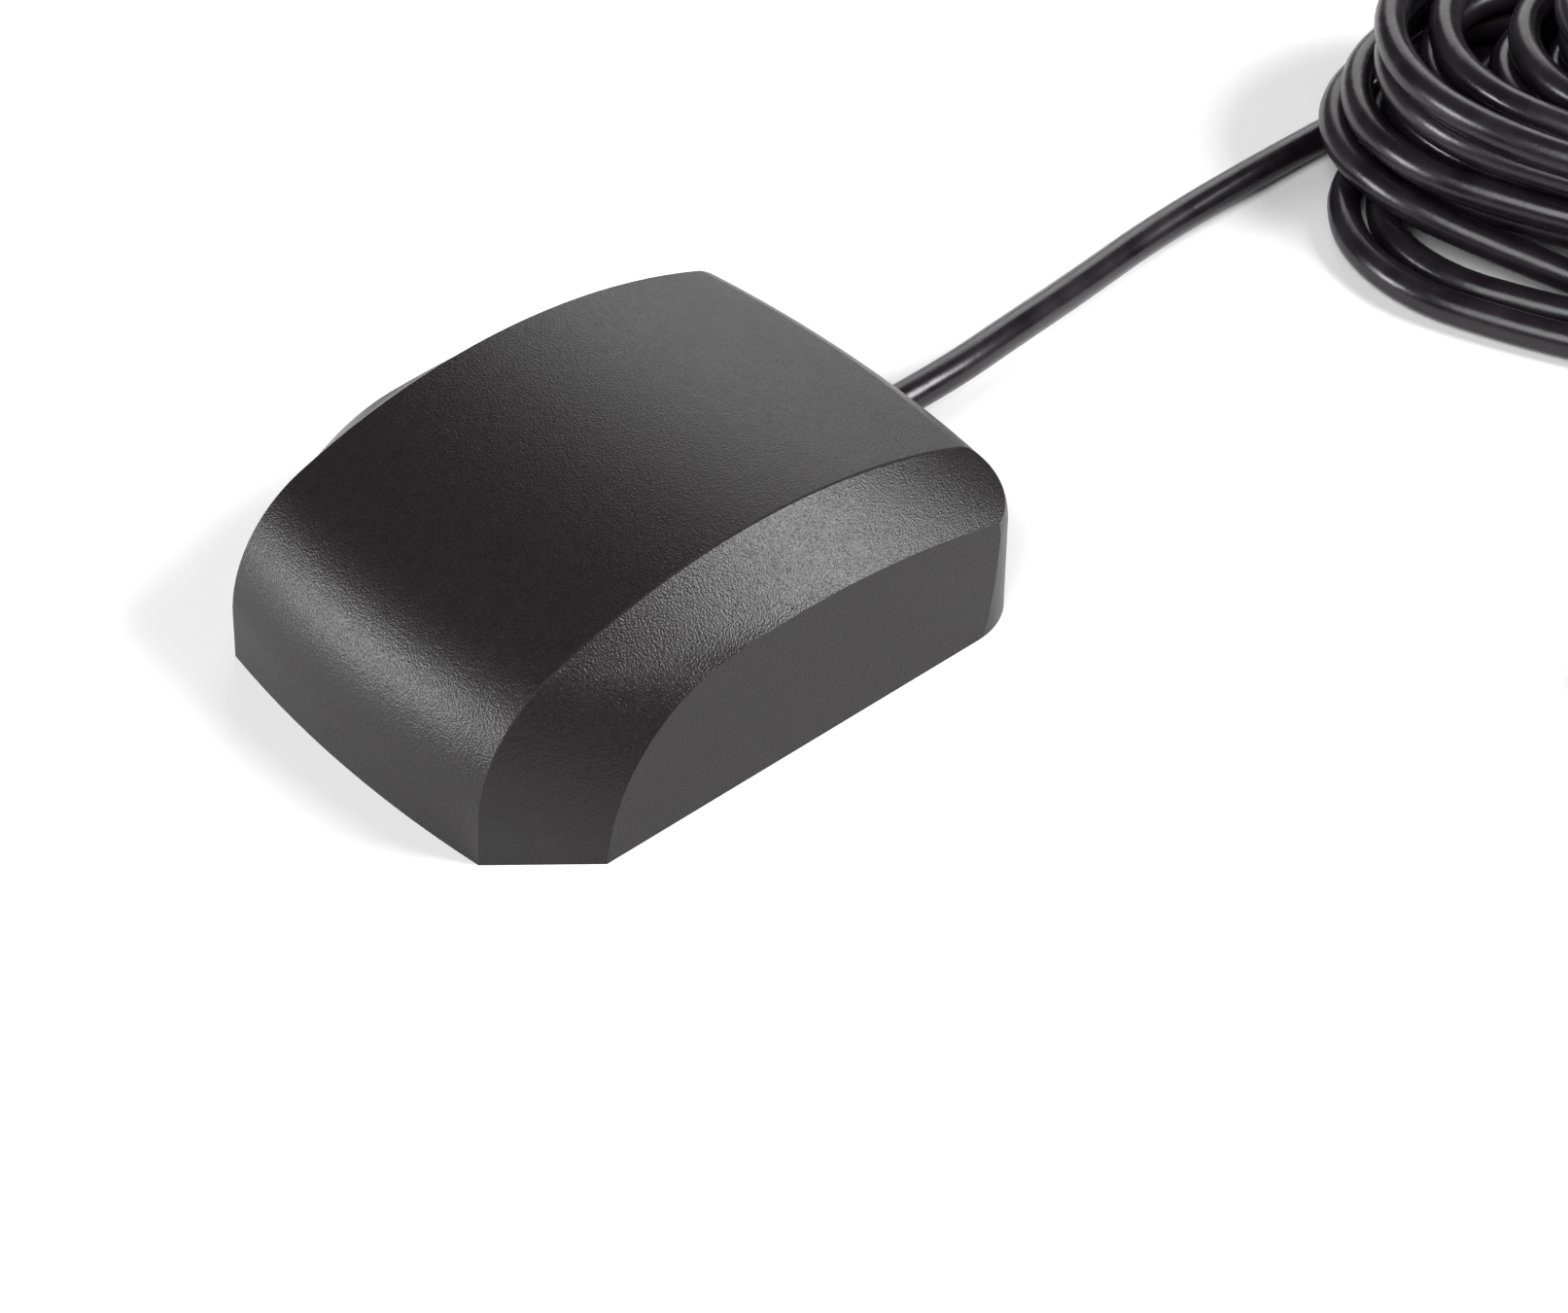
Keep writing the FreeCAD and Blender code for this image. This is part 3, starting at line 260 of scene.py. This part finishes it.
def settled(points, spacing, floor, apart, steps):
    """Push turns that touch away from each other, and up off the floor, until they lie side by side.

    The points act through quadratic blends of three neighbours, the same ones that draw the lead,
    with three samples of the line to each. Samples that are nearer than the spacing, and more than
    apart samples along the line from each other, move away from one another. The moves are evened
    out along the line after every step.
    """
    part_of_push, evening = 0.65, 0.1
    rest = points
    count = len(points)
    order = np.arange(3 * (count - 2))
    first, part = order[:, None] // 3, order % 3 / 3
    weights = np.zeros((len(order), count))
    weights[order[:, None], first + np.arange(3)] = np.stack(
        [(1 - part) ** 2 / 2, 0.5 + part - part ** 2, part ** 2 / 2], axis=1)
    share = weights.T / np.maximum(weights.sum(0), 1e-9)[:, None]
    far = np.abs(order[:, None] - order) > apart
    for _ in range(steps):
        line = weights @ points
        between = line[:, None] - line
        distance = np.sqrt((between ** 2).sum(2)) + 1e-9
        short = np.where(far & (distance < spacing), spacing - distance, 0.0)
        push = (between * (short / distance)[..., None]).sum(1) / np.maximum((short > 0).sum(1), 1)[:, None]
        moved = points + part_of_push * (share @ push) - rest
        moved[1:-1] = (1 - 2 * evening) * moved[1:-1] + evening * (moved[:-2] + moved[2:])
        points = rest + moved
        points[:, 2] = np.maximum(points[:, 2], floor)
    return points


# One row a turn, in mm and degrees: right, away, inset, end radius, heading, height, and the turn
# counts between which it eases into the next row.
turns = np.array([
    (-2.4, 6, 0.0, 14.5, 30, 1.4, 0.3, 0.7),
    (-3.1, -0.3, 0.0, 14.5, 30, 1.4, 1.3, 1.7),
    (-2.6, -0.2, 2.9, 14.5, 30, 1.4, 2.3, 2.7),
    (-2.2, 0.2, 5.8, 14.5, 30, 1.4, 2.78, 2.93),
    (-3.2, 8, 0.0, 14.5, 30, 4.4, 3.3, 3.7),
    (-2.7, 7.8, 2.9, 14.5, 30, 4.4, 4.3, 4.7),
    (-0.6, 8, 8.0, 19.0, 30, 4.4, 5.3, 5.7),
    (0.4, 8.2, 11.5, 20.0, 31, 4.4, 6.3, 6.7),
    (1.6, 9.4, 11.5, 20.0, 29, 7.2, 7.3, 7.7),
    (0.6, 9, 8.0, 19.0, 28, 7.2, 8.3, 8.7),
    (-0.8, 8.7, 2.9, 14.5, 29, 7.2, 9.3, 9.7),
    (-1.6, 8.7, 0.0, 14.5, 30, 7.2, 10.3, 10.7),
    (1.2, 9.8, 0.0, 15.5, 28, 10.0, 11.3, 11.7),
    (2, 9.8, 2.9, 15.5, 27, 10.0, 12.3, 12.7),
    (3.2, 10, 8.0, 19.0, 28, 10.0, 13.3, 13.7),
    (4.2, 10.6, 11.5, 20.5, 26, 10.0, 14.3, 14.7),
    (5.6, 11.6, 11.5, 21.0, 25, 12.8, 15.3, 15.7),
    (9.5, 11, 10.7, 23.0, 28, 15.6, 16.3, 16.7),
    (9, 11.8, 7.8, 20.5, 25, 15.6, 17.3, 17.7),
    (5, 11.7, 8.0, 20.5, 24, 12.8, 18.3, 18.7),
    (3.3, 12, 2.9, 18.0, 23, 12.8, 19.3, 19.7),
    (2, 12.4, 0.0, 18.0, 21, 12.8, 20.08, 20.45),
    (1.6, 6.6, -3.0, 14.5, 30, 1.4, 0, 0),
])
turn_count, points_a_turn = 20.5, 20
oval_half_length, oval_side_radius, left_tip, view_turn = 33.0, 140.0, (1.2, 81.4), math.radians(48.6)
coil = wound(turns, turn_count, points_a_turn, oval_half_length, oval_side_radius, left_tip, view_turn)
lead_diameter = 0.0028
strand_spacing, lowest_centre, samples_apart, settling_steps = 2.9, 1.4, 24, 120
controls = settled(np.concatenate([route, coil, tail]), strand_spacing, lowest_centre,
                   samples_apart, settling_steps)
controls[:len(route)] = route
controls[-len(tail):] = tail
curve = bpy.data.curves.new("coaxial_lead", "CURVE")
curve.dimensions = "3D"
curve.bevel_depth = lead_diameter / 2
curve.bevel_resolution = 5
curve.resolution_u = 6
curve.use_fill_caps = True
spline = curve.splines.new("NURBS")
spline.points.add(len(controls) - 1)
spline.points.foreach_set("co", np.insert(controls / 1000, 3, 1.0, axis=1).ravel())
spline.order_u = 3
spline.use_endpoint_u = True
lead = bpy.data.objects.new("coaxial_lead", curve)
scene.collection.objects.link(lead)
place, finish = surface("lead_jacket", (0.022, 0.020, 0.022), 0.3, specular=0.36)
wave = place.noise(250.0, 2.0)
skin = place.noise(2600.0, 2.0)
tone = wave.ramp(0.35, 0.65).blend((0.006, 0.0045, 0.006), (0.012, 0.0095, 0.0115))
vinyl = finish(tone, wave.ramp(0.3, 0.7, 0.22, 0.32), wave * 0.8 + skin * 0.12, 0.00008)
curve.materials.append(vinyl)
dress(vinyl, "lead_jacket_end")
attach(lead, "antenna")
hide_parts("antenna_lead", "lead_coil", "lead_tail")

# Plug: turned brass with a thin gold plate, its nut's flats milled and its thread cut before plating.
# The ring in the nut's groove is spring bronze, the face seal silicone, and the sleeve over the
# crimp is shrunk tube.
place, finish = surface("plug_gold", (0.83, 0.62, 0.28), 0.24, 1.0)
smear = place.noise(500.0, 3.0)
lines = place.noise(1100.0, 2.0, (0.3, 9.0, 0.3))
tone = smear.ramp(0.35, 0.7).blend((0.85, 0.65, 0.31), (0.74, 0.53, 0.22))
gold = finish(tone, (smear * 0.5 + lines * 0.5).ramp(0.3, 0.7, 0.22, 0.34), lines, 0.000004)
dress(gold, "coupling_nut", "plug_body", "crimp_ferrule")


def helical_ridge(axis, start, wraps, pitch, root, crest, steps):
    """Corners and faces of a closed ridge that winds round a bore along y.

    The way along the axis grows by one pitch per turn. The ridge's section is a trapezoid that stands
    on the root radius and reaches in to the crest radius. Over the first and last half turn it grows
    from nothing and shrinks back.
    """
    angle = np.linspace(0.0, 2 * np.pi * wraps, int(steps * wraps) + 1)
    grown = np.clip(np.minimum(angle, angle[-1] - angle) / np.pi, 0.05, 1.0)
    height, aside = np.array([(0.0, -0.47), (1.0, -0.08), (1.0, 0.08), (0.0, 0.47)]).T[:, :, None]
    radius = root + (crest - root) * height * grown
    along = start + pitch * (angle / (2 * np.pi) + aside * grown)
    points = np.stack([axis[0] + radius * np.cos(angle), along, axis[1] + radius * np.sin(angle)], axis=-1)
    count = len(angle)
    corner = np.arange(count - 1) + count * np.arange(4)[:, None]
    beside = np.roll(corner, -1, axis=0)
    walls = np.stack([corner, corner + 1, beside + 1, beside], axis=-1).reshape(-1, 4)
    ends = np.stack([corner[:, 0], corner[::-1, -1] + 1])
    return points.reshape(-1, 3), np.concatenate([walls, ends])


nut_axis, thread_start, thread_wraps, thread_pitch = (0.0585, 0.004), 0.0508, 6.0, 0.0007056
thread_root, thread_crest, steps_a_wrap = 0.00315, 0.00287, 60
points, faces = helical_ridge(nut_axis, thread_start, thread_wraps, thread_pitch,
                              thread_root, thread_crest, steps_a_wrap)
thread_mesh = bpy.data.meshes.new("nut_thread")
thread_mesh.from_pydata(points.tolist(), [], faces.tolist())
thread_mesh.materials.append(gold)
thread = bpy.data.objects.new("nut_thread", thread_mesh)
scene.collection.objects.link(thread)
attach(thread, "coupling_nut")
place, finish = surface("spring_bronze", (0.72, 0.48, 0.26), 0.3, 1.0)
grain = place.noise(2500.0)
dress(finish(rough=grain.ramp(0.3, 0.7, 0.25, 0.4)), "snap_ring")
place, finish = surface("seal_silicone", (0.42, 0.06, 0.03), 0.5)
grain = place.noise(3000.0)
dress(finish(rough=grain.ramp(0.3, 0.7, 0.42, 0.6)), "mating_gasket")
place, finish = surface("sleeve_shrink", (0.02, 0.02, 0.021), 0.42)
ripple = place.noise(900.0, 3.0, (1.0, 0.25, 1.0))
dress(finish(rough=ripple.ramp(0.3, 0.7, 0.36, 0.52), height=ripple, depth=0.00006), "heat_shrink_sleeve")

# Floor: the plain pale surface that the housing and the coil lie on.
floor_mesh = bpy.data.meshes.new("floor")
floor_reach, floor_drop = 3.0, 0.00002
corners = np.array([(-1, -1, 0), (1, -1, 0), (1, 1, 0), (-1, 1, 0)]) * floor_reach - (0, 0, floor_drop)
floor_mesh.from_pydata(corners.tolist(), [], [(0, 1, 2, 3)])
floor = bpy.data.objects.new("floor", floor_mesh)
scene.collection.objects.link(floor)
place, finish = surface("floor_pale", (0.80, 0.80, 0.80), 0.9)
floor_mesh.materials.append(finish())

# Light: white for the camera and dim for all else, with four soft boxes that the black cover mirrors
# along its nose, its back and its right band.
world = bpy.data.worlds.new("studio")
scene.world = world
world.use_nodes = True
tree = world.node_tree
rays = tree.nodes.new("ShaderNodeLightPath")
camera_ray = Field(tree, rays.outputs["Is Camera Ray"])
seen = camera_ray.math("MAXIMUM", Field(tree, rays.outputs["Is Transmission Ray"]))
background = tree.nodes["Background"]
background.inputs["Color"].default_value = (1.0, 1.0, 1.0, 1.0)
tree.links.new(seen.ramp(0.0, 1.0, 0.1, 1.0).socket, background.inputs["Strength"])
for name, location, target, size, power in (
    ("back_box", (-0.50, 0.56, 0.36), (0.0, 0.0, 0.01), 0.45, 1.75),
    ("front_box", (-0.48, -0.60, 0.21), (0.0, 0.0, 0.01), 0.25, 4.75),
    ("right_box", (0.46, 0.42, 0.47), (0.0, 0.0, 0.01), 0.32, 8.6),
    ("fill_box", (0.25, -0.75, 0.85), (0.0, 0.0, 0.0), 0.7, 13.0),
):
    lamp = bpy.data.lights.new(name, "AREA")
    lamp.size = size
    lamp.energy = power
    box_object = bpy.data.objects.new(name, lamp)
    scene.collection.objects.link(box_object)
    box_object.location = location
    right, away, up = np.subtract(target, location)
    box_object.rotation_euler = (math.atan2(math.hypot(right, away), -up), 0.0, math.atan2(-right, away))

# Camera: at the photograph's place, with its lens.
camera = bpy.data.cameras.new("camera")
camera.sensor_width = 36.0
camera.lens = 84.99
camera.clip_start = 0.01
view = bpy.data.objects.new("camera", camera)
view.location = (0.1622, -0.1266, 0.1778)
view.rotation_euler = (math.radians(90 - 41.61), 0.0, math.radians(48.62))
scene.collection.objects.link(view)
scene.camera = view
scene.view_settings.view_transform = "Standard"
